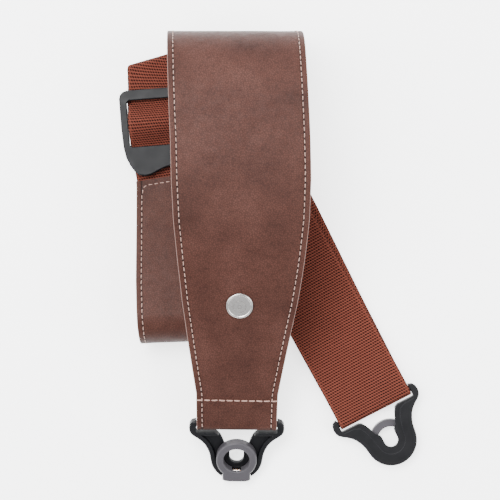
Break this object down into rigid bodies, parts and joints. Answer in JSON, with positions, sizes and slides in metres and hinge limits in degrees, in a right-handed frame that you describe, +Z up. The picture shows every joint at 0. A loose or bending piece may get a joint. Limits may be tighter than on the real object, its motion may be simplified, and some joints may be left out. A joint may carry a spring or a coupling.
{
  "type": "guitar strap",
  "caption": "Folded leather strap with sewn webbing, a slide adjuster and a self-locking clip with a button slot at each end.",
  "frame": {"origin": "centre of the bounding box's base, on the surface the folded strap lies on", "axes": "+Y along the folded strap away from the clips, +X across it, +Z up from the surface"},
  "size_m": [0.1898, 0.2832, 0.0759],
  "materials": {
    "brown_leather": "pebbled, satin",
    "core_felt": "felted",
    "brown_suede": "suede",
    "rust_webbing": "heavy ribbed weave",
    "black_plastic": "moulded, satin",
    "grey_plastic": "moulded, satin",
    "pin_steel": "plain",
    "spring_bronze": "drawn wire",
    "nickel": "satin plated"
  },
  "bodies": {
    "strap": {"leather_face": "brown_leather", "leather_core": "core_felt", "leather_backing": "brown_suede", "rivet_cap": "nickel", "rivet_back": "nickel", "webbing_tail": "rust_webbing", "webbing_run": "rust_webbing"},
    "slider": {"slider_frame": "black_plastic", "webbing_hump": "rust_webbing", "webbing_bar_loop": "rust_webbing"},
    "clip_1": {"clip_1_frame": "black_plastic", "clip_1_pin": "pin_steel", "clip_1_spring": "spring_bronze"},
    "clip_1_lock": {"clip_1_lock_ring": "grey_plastic"},
    "clip_2": {"clip_2_frame": "black_plastic", "clip_2_pin": "pin_steel", "clip_2_spring": "spring_bronze"},
    "clip_2_lock": {"clip_2_lock_ring": "grey_plastic"}
  },
  "joints": [
    {"name": "slider_slide", "type": "slide", "parent": "strap", "child": "slider", "axis": [-0.0785, 0.9969, 0], "range_m": [0, 0.012]},
    {"name": "clip_1_swing", "type": "hinge", "parent": "strap", "child": "clip_1", "pos_m": [-0.0206, -0.10346, 0.01799], "axis": [0.9999, -0.0105, 0], "range_deg": [-60, 30]},
    {"name": "clip_1_lock_tilt", "type": "hinge", "parent": "clip_1", "child": "clip_1_lock", "pos_m": [-0.02093, -0.13481, 0.00634], "axis": [0.9999, -0.0105, 0], "range_deg": [0, 25], "stiffness_Nm_per_rad": 0.02, "springref_deg": -11.46},
    {"name": "clip_2_swing", "type": "hinge", "parent": "strap", "child": "clip_2", "pos_m": [0.0665, -0.09396, 0.00609], "axis": [-0.8894, -0.4571, 0], "range_deg": [-30, 60]},
    {"name": "clip_2_lock_tilt", "type": "hinge", "parent": "clip_2", "child": "clip_2_lock", "pos_m": [0.08177, -0.12366, 0.00439], "axis": [-0.8894, -0.4571, 0], "range_deg": [0, 25], "stiffness_Nm_per_rad": 0.02, "springref_deg": -11.46}
  ]
}
